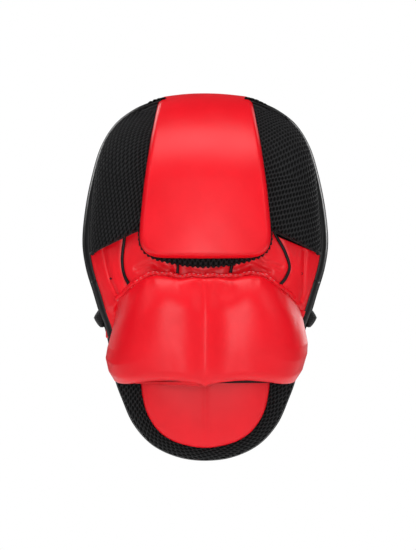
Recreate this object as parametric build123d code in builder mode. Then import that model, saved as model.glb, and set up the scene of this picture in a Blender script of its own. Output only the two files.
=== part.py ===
"""A curved focus mitt: a boxing pad that a trainer wears on one hand.

The frame is the hand's: +Z runs from the wrist to the fingertips, -Y is the side that the hand goes
in, and +Y is the striking side. The origin is the middle of the palm rest. Sizes are in millimetres.

The whole pad is bent about one axis, parallel to X, that lies beyond the striking face. A "height" is
measured from the palm surface towards the hand, so the pad's own layers have negative heights.
"""

import os

from build123d import *

# Overall shape of the pad, seen from the hand side
crown_z = 158.0
crown_half_width = 42.0
crown_rise = 2.0
shoulder_half_width = 92.5
shoulder_z = 47.0
shoulder_bulge = 18.5
waist_half_width = 71.5
waist_z = -41.0
waist_bulge = 2.0
heel_half_width = 66.0
heel_shoulder_z = -68.0
heel_z = -124.0
curve_radius = 480.0

# Layers of the pad, from the palm to the striking face
lining_thickness = 1.2
comfort_foam_thickness = 8.0
core_foam_thickness = 10.0
impact_foam_thickness = 8.8
face_thickness = 2.0
wall_thickness = 2.0
patch_thickness = 1.6
piping_width = 1.5
piping_height = 4.0

# Striking face
target_z = 56.0
target_radius = 42.0
ring_radius = 57.0
ring_width = 4.0
webbing_z = -13.5
webbing_width = 15.0
webbing_reach = 4.7
fold_height = 8.0
fold_thickness = 1.3
wrap_depth = 14.0

# Side wall seams
wall_seam_z = 13.0
wall_foot_z = -62.0

# Heel pad on the hand side
heel_pad_half_width = 50.0
heel_pad_z = -115.0
heel_pad_shoulder_z = -62.0
heel_pad_top_z = -40.0
heel_pad_height = 9.5
heel_border_height = 5.0
cover_thickness = 1.5

# Palm grip
grip_length = 80.0
grip_width = 26.0
grip_z = -16.0
grip_height = 7.0

# Finger stalls
stall_height = 27.0
stall_top_z = 98.0
stall_wall = 1.5
inner_piping_x = 21.0
outer_piping_x = 62.0
stall_piping_width = 2.4
stall_piping_rise = 0.8
arch_drop = 20.0
arch_margin = 2.5

# Finger hood
hood_inset = 4.0
mesh_thickness = 4.0
mesh_roll_inset = 5.0
hood_lining_height = 30.0
hood_lining_thickness = 1.2
hood_mouth_z = 66.0
hood_corner_z = 36.0
binding_width = 3.0

# Padded strip down the middle of the hood, and its free tongue
strip_thickness = 13.2
strip_top_half_width = 35.0
strip_half_width = 51.0
strip_bow = 3.0
strip_bottom_z = 34.0
strip_corner_radius = 14.0
roll_radius = 85.0
roll_top_z = 163.0
roll_margin = 0.6
tongue_z = 66.0
gusset_drop = 7.0
gusset_thickness = 1.3

# Wrist cuff
pocket_height = 34.0
pocket_half_width = 68.0
cuff_foot_height = 6.0
cuff_half_width = 78.0
cuff_crest_x = 34.0
cuff_crest_height = 52.0
cuff_crease_height = 47.5
cuff_side_bulge = 12.0
cuff_lobe_bulge = 1.5
cuff_top_z = 20.0
cuff_crest_top_x = 40.0
cuff_corner_x = 70.0
cuff_corner_z = -4.0
cuff_widest_z = -46.0
cuff_bottom_z = -65.0
cuff_corner_radius = 7.0
cuff_lining_thickness = 1.2
seam_roll_width = 4.2
seam_roll_height = 33.0
seam_roll_thickness = 5.0
gusset_width = 6.0
gusset_inset = 1.0

# Gaps
clearance = 0.3
moving_clearance = 0.8
split_gap = 0.5
seam_gap = 0.1

# Places that follow from the sizes above
foam_depth = lining_thickness + comfort_foam_thickness + core_foam_thickness + impact_foam_thickness
face_depth = foam_depth + face_thickness
curve_axis = Axis((0, curve_radius, 0), (1, 0, 0))
reach = 2 * shoulder_half_width
arch_half_span = shoulder_half_width - arch_margin
strip_floor_height = hood_lining_height + clearance
strip_height = strip_floor_height + strip_thickness
mesh_height = strip_floor_height + mesh_thickness
seam_slope = (cuff_top_z - cuff_corner_z) / (cuff_corner_x - cuff_crest_top_x)
seam_end_z = cuff_corner_z - seam_slope * (reach - cuff_corner_x)

os.makedirs("parts", exist_ok=True)


def finish(piece, name):
    """Label a finished piece and write its STEP file."""
    piece.part.label = name
    export_step(piece.part, f"parts/{name}.step")


def pad_outline(inset):
    """Sketch the pad's outline, smaller by inset all round."""
    corner = (crown_half_width, crown_z - crown_rise)
    shoulder = (shoulder_half_width, shoulder_z)
    waist = (waist_half_width, waist_z)
    heel = (heel_half_width, heel_shoulder_z)
    with BuildSketch(Plane.XZ) as outline:
        with BuildLine():
            SagittaArc(corner, shoulder, shoulder_bulge)
            SagittaArc(shoulder, waist, waist_bulge)
            Line(waist, heel)
            mirror(about=Plane.YZ)
            ThreePointArc(corner, (0, crown_z), (-crown_half_width, crown_z - crown_rise))
            ThreePointArc(heel, (0, heel_z), (-heel_half_width, heel_shoulder_z))
        make_face()
        if inset:
            offset(amount=-inset, kind=Kind.INTERSECTION)
    return outline.sketch


def heel_outline(inset):
    """Sketch the heel pad: a half round below, with straight sides up to its top."""
    half = heel_pad_half_width - inset
    top = heel_pad_top_z - inset
    shoulder = (half, heel_pad_shoulder_z)
    with BuildSketch(Plane.XZ) as outline:
        with BuildLine():
            Polyline((-half, heel_pad_shoulder_z), (-half, top), (half, top), shoulder)
            ThreePointArc(shoulder, (0, heel_pad_z + inset), (-half, heel_pad_shoulder_z))
        make_face()
    return outline.sketch


def strip_outline(inset):
    """Sketch the hood's middle strip, with its bowed sides and round lower corners."""
    top = roll_top_z - inset
    bottom = strip_bottom_z + inset
    half_top = strip_top_half_width - inset
    half_low = strip_half_width - inset
    with BuildSketch(Plane.XZ) as outline:
        with BuildLine():
            Line((-half_low, bottom), (half_low, bottom))
            SagittaArc((half_top, top), (half_low, bottom), strip_bow)
            Line((half_top, top), (-half_top, top))
            SagittaArc((-half_top, top), (-half_low, bottom), -strip_bow)
        make_face()
        fillet(outline.vertices().group_by(Axis.Z)[0], strip_corner_radius - inset)
    return outline.sketch


def seam_outline(rise):
    """Sketch all that lies above the cuff's top seam, raised by rise."""
    with BuildSketch(Plane.XZ) as outline:
        with BuildLine():
            Polyline(
                (-reach, seam_end_z + rise),
                (-cuff_crest_top_x, cuff_top_z + rise),
                (cuff_crest_top_x, cuff_top_z + rise),
                (reach, seam_end_z + rise),
                (reach, reach),
                (-reach, reach),
                close=True,
            )
        make_face()
    return outline.sketch


def cuff_outline(inset):
    """Sketch the wrist cuff, seen from the hand side."""
    with BuildSketch(Plane.XZ) as outline:
        with BuildLine():
            Polyline(
                (0, cuff_top_z),
                (cuff_crest_top_x, cuff_top_z),
                (cuff_corner_x, cuff_corner_z),
                (cuff_half_width, cuff_widest_z),
                (cuff_corner_x, cuff_bottom_z),
                (0, cuff_bottom_z),
            )
            mirror(about=Plane.YZ)
        make_face()
        fillet(outline.vertices(), cuff_corner_radius)
        if inset:
            offset(amount=-inset, kind=Kind.INTERSECTION)
    return outline.sketch


def ring(low, high):
    """Make the bent layer between two heights, wider than the pad."""
    with BuildPart() as layer:
        with BuildSketch(Plane.YZ):
            with Locations((curve_radius, 0)):
                Circle(curve_radius + high)
                Circle(curve_radius + low, mode=Mode.SUBTRACT)
        extrude(amount=reach, both=True)
    return layer.part


def bent_layer(low, high, outline):
    """Make the bent layer between two heights that lies inside an outline."""
    with BuildPart() as layer:
        add(ring(low, high))
        extrude(outline, amount=reach, both=True, mode=Mode.INTERSECT)
    return layer.part


def arch_band(height):
    """Make all that lies between the palm surface and an arch, bent with the pad."""
    left = (-arch_half_span, arch_drop - height)
    right = (arch_half_span, arch_drop - height)
    with BuildPart() as band:
        with BuildSketch(Plane.XY):
            with BuildLine():
                ThreePointArc(left, (0, -height), right)
                Polyline(right, (arch_half_span, 0), (-arch_half_span, 0), left)
            make_face()
        revolve(axis=curve_axis, revolution_arc=360)
    return band.part


def roll_form(inset):
    """Make all that lies under the round that the hood rolls over the crown with."""
    outer_radius = curve_radius + strip_height + roll_margin
    centre_z = roll_top_z - roll_radius
    centre_y = curve_radius - ((outer_radius - roll_radius) ** 2 - centre_z**2) ** 0.5
    with BuildPart() as form:
        with BuildSketch(Plane.YZ):
            with Locations((centre_y, centre_z)):
                Circle(roll_radius - inset)
                Rectangle(4 * reach, 2 * reach, align=(Align.CENTER, Align.MAX))
        extrude(amount=reach, both=True)
    return form.part


def dome(height, roll_inset, inset):
    """Make a closed form over the fingers: arched across and rolled over the crown."""
    with BuildPart() as form:
        add(arch_band(height))
        add(roll_form(roll_inset), mode=Mode.INTERSECT)
        extrude(pad_outline(inset), amount=reach, both=True, mode=Mode.INTERSECT)
    return form.part


def cuff_form(inset):
    """Make the cuff's solid form, smaller by inset: two lobes with a crease between them."""
    foot = (cuff_half_width - inset, -cuff_foot_height - inset)
    crest = (cuff_crest_x, inset - cuff_crest_height)
    crease = (0, inset - cuff_crease_height)
    inner_foot = (pocket_half_width + inset, -cuff_foot_height - inset)
    with BuildPart() as form:
        with BuildSketch(Plane.XY):
            with BuildLine():
                SagittaArc(foot, crest, cuff_side_bulge)
                SagittaArc(crest, crease, cuff_lobe_bulge)
                Line(foot, inner_foot)
                mirror(about=Plane.YZ)
                ThreePointArc(inner_foot, (0, -pocket_height - inset), (-inner_foot[0], inner_foot[1]))
            make_face()
        revolve(axis=curve_axis, revolution_arc=360)
        extrude(cuff_outline(inset), amount=reach, both=True, mode=Mode.INTERSECT)
    return form.part


def half_space(side):
    """Make the block that holds everything on one side of the middle plane: -1 left, 1 right."""
    with BuildPart() as block:
        with Locations((side * (2 * reach + clearance) / 2, 0, 0)):
            Box(2 * reach, 4 * reach, 4 * reach)
    return block.part


def z_slab(low, high):
    """Make the block that holds everything between two levels."""
    with BuildPart() as block:
        with Locations((0, 0, (low + high) / 2)):
            Box(4 * reach, 4 * reach, high - low)
    return block.part


def pad_core(low, high):
    """Make one foam layer of the pad, inside its walls."""
    return bent_layer(low, high, pad_outline(wall_thickness + clearance))


# The pad's layers, from the palm to the striking face
with BuildPart() as palm_lining:
    add(pad_core(-lining_thickness, 0))
finish(palm_lining, "palm_lining")

comfort_depth = lining_thickness + comfort_foam_thickness
with BuildPart() as comfort_foam:
    add(pad_core(-comfort_depth, -lining_thickness))
finish(comfort_foam, "comfort_foam")

core_depth = comfort_depth + core_foam_thickness
with BuildPart() as core_foam:
    add(pad_core(-core_depth, -comfort_depth))
finish(core_foam, "core_foam")

with BuildPart() as impact_foam:
    add(pad_core(-foam_depth, -core_depth))
finish(impact_foam, "impact_foam")

# The striking face: two panels that meet under the webbing at the waist
face_layer = bent_layer(-face_depth, -foam_depth, pad_outline(0))
with BuildPart() as face_upper:
    add(face_layer)
    add(z_slab(webbing_z + clearance / 2, reach), mode=Mode.INTERSECT)
finish(face_upper, "face_upper")

with BuildPart() as face_lower:
    add(face_layer)
    add(z_slab(-reach, webbing_z - clearance / 2), mode=Mode.INTERSECT)
finish(face_lower, "face_lower")

patch_layer = ring(-face_depth - patch_thickness, -face_depth)
with BuildPart() as target_patch:
    add(patch_layer)
    with BuildSketch(Plane.XZ):
        with Locations((0, target_z)):
            Circle(target_radius)
    extrude(amount=reach, both=True, mode=Mode.INTERSECT)
finish(target_patch, "target_patch")

with BuildPart() as target_ring:
    add(patch_layer)
    with BuildSketch(Plane.XZ):
        with Locations((0, target_z)):
            Circle(ring_radius)
            Circle(ring_radius - ring_width, mode=Mode.SUBTRACT)
    extrude(amount=reach, both=True, mode=Mode.INTERSECT)
finish(target_ring, "target_ring")

# The webbing across the waist, and its ends folded round onto the side walls
webbing_low = webbing_z - webbing_width / 2
webbing_high = webbing_z + webbing_width / 2
with BuildPart() as waist_webbing:
    add(bent_layer(-face_depth - patch_thickness, -face_depth, pad_outline(-webbing_reach)))
    add(z_slab(webbing_low, webbing_high), mode=Mode.INTERSECT)
finish(waist_webbing, "waist_webbing")

wrap_outer = bent_layer(-face_depth, -face_depth + wrap_depth, pad_outline(-webbing_reach))
wrap_inner = bent_layer(-face_depth, -face_depth + wrap_depth, pad_outline(-piping_width - clearance / 2))
fold_outer = bent_layer(-face_depth, -face_depth + wrap_depth, pad_outline(-piping_width - fold_thickness))
for side, name in ((-1, "left"), (1, "right")):
    with BuildPart() as webbing_end:
        add(wrap_outer)
        add(wrap_inner, mode=Mode.SUBTRACT)
        add(z_slab(webbing_low, webbing_high), mode=Mode.INTERSECT)
        add(half_space(side), mode=Mode.INTERSECT)
    finish(webbing_end, f"webbing_end_{name}")

    with BuildPart() as face_fold:
        add(fold_outer)
        add(wrap_inner, mode=Mode.SUBTRACT)
        add(z_slab(webbing_low - clearance - fold_height, webbing_low - clearance), mode=Mode.INTERSECT)
        add(half_space(side), mode=Mode.INTERSECT)
    finish(face_fold, f"face_fold_{name}")

# The side wall, in four lengths, and the piping round the striking edge
wall_outer = bent_layer(-foam_depth, 0, pad_outline(0))
wall_inner = bent_layer(-foam_depth, 0, pad_outline(wall_thickness))
with BuildPart() as wall_ring:
    add(wall_outer)
    add(wall_inner, mode=Mode.SUBTRACT)

with BuildPart() as side_wall_crown:
    add(wall_ring.part)
    add(z_slab(wall_seam_z + clearance / 2, reach), mode=Mode.INTERSECT)
finish(side_wall_crown, "side_wall_crown")

for side, name in ((-1, "left"), (1, "right")):
    with BuildPart() as side_wall:
        add(wall_ring.part)
        add(z_slab(wall_foot_z + clearance / 2, wall_seam_z - clearance / 2), mode=Mode.INTERSECT)
        add(half_space(side), mode=Mode.INTERSECT)
    finish(side_wall, f"side_wall_{name}")

with BuildPart() as side_wall_heel:
    add(wall_ring.part)
    add(z_slab(-reach, wall_foot_z - clearance / 2), mode=Mode.INTERSECT)
finish(side_wall_heel, "side_wall_heel")

with BuildPart() as face_piping:
    add(bent_layer(-face_depth, piping_height - face_depth, pad_outline(-piping_width)))
    add(bent_layer(-face_depth, piping_height - face_depth, pad_outline(0)), mode=Mode.SUBTRACT)
finish(face_piping, "face_piping")

# The heel pad and the mesh border round it
heel_block = bent_layer(0, heel_pad_height, heel_outline(0))
heel_core = bent_layer(0, heel_pad_height - cover_thickness, heel_outline(cover_thickness))
with BuildPart() as heel_border:
    add(bent_layer(0, heel_border_height, pad_outline(0)))
    add(z_slab(-reach, heel_pad_top_z), mode=Mode.INTERSECT)
    extrude(heel_outline(-clearance), amount=reach, both=True, mode=Mode.SUBTRACT)
finish(heel_border, "heel_border")

with BuildPart() as heel_cover:
    add(heel_block)
    add(heel_core, mode=Mode.SUBTRACT)
finish(heel_cover, "heel_cover")

with BuildPart() as heel_foam:
    add(heel_core)
finish(heel_foam, "heel_foam")


def grip_form(inset):
    """Make the roll that the palm closes on."""
    with BuildPart() as form:
        with BuildSketch(Plane.XZ):
            with Locations((0, grip_z)):
                SlotOverall(grip_length - 2 * inset, grip_width - 2 * inset)
        extrude(amount=reach, both=True)
        add(ring(0, grip_height - inset), mode=Mode.INTERSECT)
    return form.part


grip_core = grip_form(cover_thickness)
with BuildPart() as palm_grip_cover:
    add(grip_form(0))
    add(grip_core, mode=Mode.SUBTRACT)
finish(palm_grip_cover, "palm_grip_cover")

with BuildPart() as palm_grip_foam:
    add(grip_core)
finish(palm_grip_foam, "palm_grip_foam")

# The finger stalls: five tunnels on the palm surface, with piping between them
lining_inset = hood_inset + mesh_thickness + clearance
stall_inset = lining_inset + hood_lining_thickness + clearance
seam_top = 2 * clearance + moving_clearance + seam_roll_width
stall_reach = shoulder_half_width
stall_edges = (-stall_reach, -outer_piping_x, -inner_piping_x, inner_piping_x, outer_piping_x, stall_reach)
stall_outer = arch_band(stall_height)
stall_inner = arch_band(stall_height - stall_wall)
side_gap = stall_piping_width / 2 + seam_gap
for number, (left, right) in enumerate(zip(stall_edges, stall_edges[1:]), 1):
    centre_x = (left + right) / 2
    width = right - left - 2 * side_gap
    with BuildPart() as stall:
        add(stall_outer)
        extrude(pad_outline(stall_inset), amount=reach, both=True, mode=Mode.INTERSECT)
        extrude(seam_outline(seam_top), amount=reach, both=True, mode=Mode.INTERSECT)
        with BuildSketch(Plane.XZ):
            with Locations((centre_x, stall_top_z)):
                Rectangle(width, 2 * reach, align=(Align.CENTER, Align.MAX))
        extrude(amount=reach, both=True, mode=Mode.INTERSECT)
    with BuildPart() as stall_hollow:
        add(stall_inner)
        extrude(pad_outline(stall_inset + stall_wall), amount=reach, both=True, mode=Mode.INTERSECT)
        with BuildSketch(Plane.XZ):
            with Locations((centre_x, stall_top_z - stall_wall)):
                Rectangle(width - 2 * stall_wall, 2 * reach, align=(Align.CENTER, Align.MAX))
        extrude(amount=reach, both=True, mode=Mode.INTERSECT)
    with BuildPart() as finger_stall:
        add(stall.part)
        add(stall_hollow.part, mode=Mode.SUBTRACT)
    finish(finger_stall, f"finger_stall_{number}")

for number, x in enumerate(stall_edges[1:-1], 1):
    with BuildPart() as finger_piping:
        add(arch_band(stall_height + stall_piping_rise))
        extrude(pad_outline(stall_inset), amount=reach, both=True, mode=Mode.INTERSECT)
        extrude(seam_outline(seam_top), amount=reach, both=True, mode=Mode.INTERSECT)
        with BuildSketch(Plane.XZ):
            with Locations((x, stall_top_z)):
                Rectangle(stall_piping_width, 2 * reach, align=(Align.CENTER, Align.MAX))
        extrude(amount=reach, both=True, mode=Mode.INTERSECT)
    finish(finger_piping, f"finger_piping_{number}")


def mouth_outline(drop):
    """Sketch all that lies above the hood's arched mouth, lowered by drop."""
    corner = (arch_half_span, hood_corner_z - drop)
    far = (reach, hood_corner_z - drop)
    corner_left = (-arch_half_span, hood_corner_z - drop)
    far_left = (-reach, hood_corner_z - drop)
    with BuildSketch(Plane.XZ) as outline:
        with BuildLine():
            ThreePointArc(corner, (0, hood_mouth_z - drop), corner_left)
            Polyline(corner, far, (reach, reach), (-reach, reach), far_left, corner_left)
        make_face()
    return outline.sketch


# The finger hood: mesh on both sides of a padded strip, over a thin lining
mesh_outer = dome(mesh_height, mesh_roll_inset, hood_inset)
mesh_inner = dome(strip_floor_height, mesh_roll_inset + mesh_thickness, hood_inset + mesh_thickness)
strip_gap = strip_outline(-clearance)
for side, name in ((-1, "left"), (1, "right")):
    with BuildPart() as hood_mesh:
        add(mesh_outer)
        add(mesh_inner, mode=Mode.SUBTRACT)
        extrude(mouth_outline(0), amount=reach, both=True, mode=Mode.INTERSECT)
        extrude(strip_gap, amount=reach, both=True, mode=Mode.SUBTRACT)
        add(half_space(side), mode=Mode.INTERSECT)
    finish(hood_mesh, f"hood_mesh_{name}")

    with BuildPart() as mouth_binding:
        add(mesh_outer)
        extrude(mouth_outline(binding_width), amount=reach, both=True, mode=Mode.INTERSECT)
        add(mesh_inner, mode=Mode.SUBTRACT)
        extrude(mouth_outline(0), amount=reach, both=True, mode=Mode.SUBTRACT)
        extrude(strip_gap, amount=reach, both=True, mode=Mode.SUBTRACT)
        add(half_space(side), mode=Mode.INTERSECT)
    finish(mouth_binding, f"mouth_binding_{name}")

lining_roll = strip_thickness + clearance
lining_hollow = dome(
    hood_lining_height - hood_lining_thickness,
    lining_roll + hood_lining_thickness,
    lining_inset + hood_lining_thickness,
)
with BuildPart() as hood_lining:
    add(dome(hood_lining_height, lining_roll, lining_inset))
    add(lining_hollow, mode=Mode.SUBTRACT)
    extrude(mouth_outline(0), amount=reach, both=True, mode=Mode.INTERSECT)
    add(z_slab(tongue_z + split_gap / 2, reach), mode=Mode.INTERSECT)
finish(hood_lining, "hood_lining")


def strip_form(inset):
    """Make the padded strip's solid form, smaller by inset, from its mouth end over the crown."""
    with BuildPart() as floor:
        add(arch_band(strip_floor_height + inset))
        add(roll_form(strip_thickness - inset), mode=Mode.INTERSECT)
    with BuildPart() as form:
        add(arch_band(strip_height - inset))
        add(roll_form(inset), mode=Mode.INTERSECT)
        add(floor.part, mode=Mode.SUBTRACT)
        extrude(strip_outline(inset), amount=reach, both=True, mode=Mode.INTERSECT)
    return form.part


strip_block = strip_form(0)
strip_core = strip_form(cover_thickness)
upper = z_slab(tongue_z + split_gap / 2, reach)
lower = z_slab(-reach, tongue_z - split_gap / 2)
with BuildPart() as strip_cover:
    add(strip_block)
    add(strip_core, mode=Mode.SUBTRACT)
    add(upper, mode=Mode.INTERSECT)
finish(strip_cover, "strip_cover")

with BuildPart() as strip_foam:
    add(strip_core)
    add(upper, mode=Mode.INTERSECT)
finish(strip_foam, "strip_foam")

with BuildPart() as crown_fold:
    add(bent_layer(piping_height + clearance - face_depth, 0, strip_outline(0)))
    add(roll_form(0), mode=Mode.INTERSECT)
    extrude(pad_outline(-clearance), amount=reach, both=True, mode=Mode.SUBTRACT)
finish(crown_fold, "crown_fold")

with BuildPart() as tongue_cover:
    add(strip_block)
    add(strip_core, mode=Mode.SUBTRACT)
    add(lower, mode=Mode.INTERSECT)
finish(tongue_cover, "tongue_cover")

with BuildPart() as tongue_foam:
    add(strip_core)
    add(lower, mode=Mode.INTERSECT)
finish(tongue_foam, "tongue_foam")

# The mesh under the tongue, which shows below its end as a shallow bow
with BuildPart() as tongue_gusset:
    add(arch_band(hood_lining_height))
    add(arch_band(hood_lining_height - gusset_thickness), mode=Mode.SUBTRACT)
    with BuildSketch(Plane.XZ):
        with BuildLine():
            half = strip_half_width - strip_corner_radius / 2
            ThreePointArc(
                (-half, strip_bottom_z), (0, strip_bottom_z - gusset_drop), (half, strip_bottom_z)
            )
            top = tongue_z - split_gap / 2
            Polyline((half, strip_bottom_z), (half, top), (-half, top), (-half, strip_bottom_z))
        make_face()
    extrude(amount=reach, both=True, mode=Mode.INTERSECT)
finish(tongue_gusset, "tongue_gusset")

# The wrist cuff: a left and a right lobe, over a lining
cuff_block = cuff_form(0)
cuff_core = cuff_form(cover_thickness)
for side, name in ((-1, "left"), (1, "right")):
    with BuildPart() as cuff_lobe:
        add(cuff_core)
        with Locations((side * (cover_thickness / 2 + reach), 0, 0)):
            Box(2 * reach, 4 * reach, 4 * reach, mode=Mode.INTERSECT)
    finish(cuff_lobe, f"cuff_foam_{name}")

    with BuildPart() as cuff_cover:
        add(cuff_block)
        add(half_space(side), mode=Mode.INTERSECT)
        add(cuff_lobe.part, mode=Mode.SUBTRACT)
    finish(cuff_cover, f"cuff_cover_{name}")


def pocket_band(drop):
    """Make all that lies under the cuff's pocket arch, lowered by drop."""
    foot = (pocket_half_width - drop, -cuff_foot_height)
    with BuildPart() as band:
        with BuildSketch(Plane.XY):
            with BuildLine():
                ThreePointArc(foot, (0, drop - pocket_height), (-foot[0], foot[1]))
                Line(foot, (-foot[0], foot[1]))
            make_face()
        revolve(axis=curve_axis, revolution_arc=360)
        extrude(cuff_outline(cover_thickness), amount=reach, both=True, mode=Mode.INTERSECT)
    return band.part


with BuildPart() as cuff_lining:
    add(pocket_band(0))
    add(pocket_band(cuff_lining_thickness), mode=Mode.SUBTRACT)
finish(cuff_lining, "cuff_lining")

# The rolled seam that joins the cuff to the finger stalls, and the gussets at the cuff's feet
with BuildPart() as seam_roll:
    add(arch_band(seam_roll_height))
    add(arch_band(seam_roll_height - seam_roll_thickness), mode=Mode.SUBTRACT)
    extrude(seam_outline(moving_clearance), amount=reach, both=True, mode=Mode.INTERSECT)
    extrude(seam_outline(moving_clearance + seam_roll_width), amount=reach, both=True, mode=Mode.SUBTRACT)
    extrude(pad_outline(stall_inset), amount=reach, both=True, mode=Mode.INTERSECT)
finish(seam_roll, "seam_roll")

gusset_height = cuff_foot_height - moving_clearance
for side, name in ((-1, "left"), (1, "right")):
    with BuildPart() as cuff_gusset:
        add(bent_layer(0, gusset_height, pad_outline(gusset_inset)))
        extrude(pad_outline(gusset_inset + gusset_width), amount=reach, both=True, mode=Mode.SUBTRACT)
        add(z_slab(heel_pad_top_z + clearance, cuff_corner_z - cuff_corner_radius), mode=Mode.INTERSECT)
        add(half_space(side), mode=Mode.INTERSECT)
    finish(cuff_gusset, f"cuff_gusset_{name}")
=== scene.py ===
"""The looks of a curved focus mitt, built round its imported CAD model.

Lengths in this script are in millimetres until a mesh is made, because the mitt was designed in them.
A place on the mitt is (x, z, height): x across, z towards the fingertips, and the height above the
palm surface, which is bent about an axis beyond the striking face.
"""

import math

import bmesh
import bpy
import numpy as np
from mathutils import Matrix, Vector


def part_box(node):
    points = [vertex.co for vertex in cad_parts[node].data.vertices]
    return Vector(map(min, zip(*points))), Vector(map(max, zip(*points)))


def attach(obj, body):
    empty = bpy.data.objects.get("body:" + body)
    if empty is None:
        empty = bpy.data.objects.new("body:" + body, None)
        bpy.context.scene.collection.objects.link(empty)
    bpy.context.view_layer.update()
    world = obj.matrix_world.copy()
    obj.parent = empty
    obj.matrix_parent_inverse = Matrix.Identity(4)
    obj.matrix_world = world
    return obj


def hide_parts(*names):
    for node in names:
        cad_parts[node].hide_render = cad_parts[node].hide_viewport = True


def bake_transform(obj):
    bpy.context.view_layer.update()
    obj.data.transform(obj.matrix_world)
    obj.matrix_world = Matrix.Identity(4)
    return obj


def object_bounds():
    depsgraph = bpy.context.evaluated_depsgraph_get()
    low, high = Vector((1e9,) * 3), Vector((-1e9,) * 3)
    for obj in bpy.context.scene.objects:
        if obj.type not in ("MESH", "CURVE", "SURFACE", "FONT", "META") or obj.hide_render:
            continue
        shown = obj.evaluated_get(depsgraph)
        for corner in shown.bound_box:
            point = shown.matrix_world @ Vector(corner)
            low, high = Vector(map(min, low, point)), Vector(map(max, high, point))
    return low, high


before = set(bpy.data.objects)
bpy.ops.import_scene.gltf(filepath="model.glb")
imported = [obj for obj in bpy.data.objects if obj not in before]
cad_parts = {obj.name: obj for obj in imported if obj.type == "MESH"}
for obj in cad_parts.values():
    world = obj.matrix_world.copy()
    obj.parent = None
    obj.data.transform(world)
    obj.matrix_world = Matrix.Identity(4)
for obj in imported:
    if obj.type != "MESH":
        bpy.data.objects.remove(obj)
cad_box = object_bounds()

MM = 0.001


def node_box(node):
    """Return the lowest and the highest corner of a CAD node, in millimetres."""
    return np.array(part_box(node)) / MM


# Places taken from the frame
patch_box = node_box("target_patch")
webbing_box = node_box("waist_webbing")
grip_box = node_box("palm_grip_cover")
PATCH_RADIUS = (patch_box[1, 0] - patch_box[0, 0]) / 2
PATCH_Z = patch_box[:, 2].mean()
RING_OUTER = np.ptp(node_box("target_ring")[:, 0]) / 2
WALL_SEAM_Z = node_box("side_wall_crown")[0, 2]
HEEL_SEAM_Z = node_box("side_wall_heel")[1, 2]
TONGUE_Z = node_box("tongue_cover")[1, 2]
CROWN_Z = node_box("crown_fold")[1, 2]
WEBBING_Z = webbing_box[:, 2].mean()

# The pad's bend, the hood's arch and its roll over the crown
CURVE_RADIUS = 480.0
ARCH_RADIUS = 212.5
FACE_HEIGHT = -30.0
STRIP_HEIGHT = 43.5
ROLL_RADIUS = 85.0
OUTER_RADIUS = CURVE_RADIUS + STRIP_HEIGHT
ROLL_Z = CROWN_Z - ROLL_RADIUS
ROLL_ANGLE = math.asin(ROLL_Z / (OUTER_RADIUS - ROLL_RADIUS))
ROLL_Y = CURVE_RADIUS - (OUTER_RADIUS - ROLL_RADIUS) * math.cos(ROLL_ANGLE)
ROLL_RUN = OUTER_RADIUS * math.sin(ROLL_ANGLE)

# The fingers, the cuff and the pocket inside it
STALL_HEIGHT = 27.0
STALL_EDGE_X = 60.0
CREST_X = 26.0
CREST_HEIGHT = 51.2
CUFF_RUN = 84.0
POCKET_WIDTH = 72.0
POCKET_FLOOR = 7.0
POCKET_RISE = 28.5

# The cloth simulation
CLOTH_PRESSURE = 2.0
CLOTH_FRAMES = 16
CLOTH_REACH = 1.6
CLOTH_SHRINK = 0.004
CLOTH_STIFFNESS = 18.0
CLOTH_BENDING = 6.0
CLOTH_SMOOTHING = 110

# The studio, in metres and watts
AMBIENT = 0.08
FLOOR_DROP = 0.26
FLOOR_RADIUS = 2.2
FLOOR_GLOW = 0.2
CAMERA_DISTANCE = 3.6
CAMERA_X = 0.0021
CAMERA_Z = 0.0199
VIEW_HEIGHT = 0.4275
SENSOR_WIDTH = 36
LIGHTS = {
    "key_left": {"place": (-1.25, -0.85, 0.75), "target": (0, 0, 0), "size": (0.6, 1.0), "power": 4},
    "key_right": {"place": (1.25, -0.85, 0.60), "target": (0, 0, 0), "size": (0.6, 1.0), "power": 3.6},
    "top": {"place": (0, -0.5, 1.25), "target": (0, 0, 0.05), "size": (1.2, 0.7), "power": 12.5},
    "front_fill": {"place": (0, -2.2, 0.1), "target": (0, 0, 0), "size": (0.5, 0.8), "power": 16},
    "back_left": {"place": (-0.9, 1.3, 0.7), "target": (0, 0, 0), "size": (0.8, 0.9), "power": 10},
    "back_right": {"place": (0.9, 1.3, 0.4), "target": (0, 0, 0), "size": (0.8, 0.9), "power": 8},
}


# ---------------------------------------------------------------- curves and mappings


CURVE_STEPS = 24


def between(t, start, end, first, second):
    """Return the mix of two points at t, which runs from start to end."""
    return (end - t) / (end - start) * first + (t - start) / (end - start) * second


def smooth_curve(points, count, closed=False):
    """Return count points on a smooth curve through the given ones, evenly spaced."""
    p = np.array(points, float)
    if closed:
        p = np.vstack([p[-1], p, p[0], p[1]])
    else:
        p = np.vstack([2 * p[0] - p[1], p, 2 * p[-1] - p[-2]])
    dense = []
    for a, b, c, d in zip(p, p[1:], p[2:], p[3:]):
        knots = [0.0]
        for start, end in ((a, b), (b, c), (c, d)):
            knots.append(knots[-1] + max(np.linalg.norm(end - start), 1e-6) ** 0.5)
        t = np.linspace(knots[1], knots[2], CURVE_STEPS, endpoint=False)[:, None]
        first = between(t, knots[0], knots[1], a, b)
        second = between(t, knots[1], knots[2], b, c)
        third = between(t, knots[2], knots[3], c, d)
        lead = between(t, knots[0], knots[2], first, second)
        follow = between(t, knots[1], knots[3], second, third)
        dense.append(between(t, knots[1], knots[2], lead, follow))
    dense = np.vstack(dense + [p[-2][None, :]])
    return even_points(dense, count, closed)


def mirror_closed(half):
    """Return the closed loop that a right half makes with its mirror image."""
    half = np.array(half, float)
    return np.vstack([half, (half * [-1, 1])[1:-1][::-1]])


def mirror_open(half):
    """Return the line from left to right that an outer-first right half makes with its mirror image."""
    half = np.array(half, float)
    return np.vstack([half * [-1, 1], half[:-1][::-1]])


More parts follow.
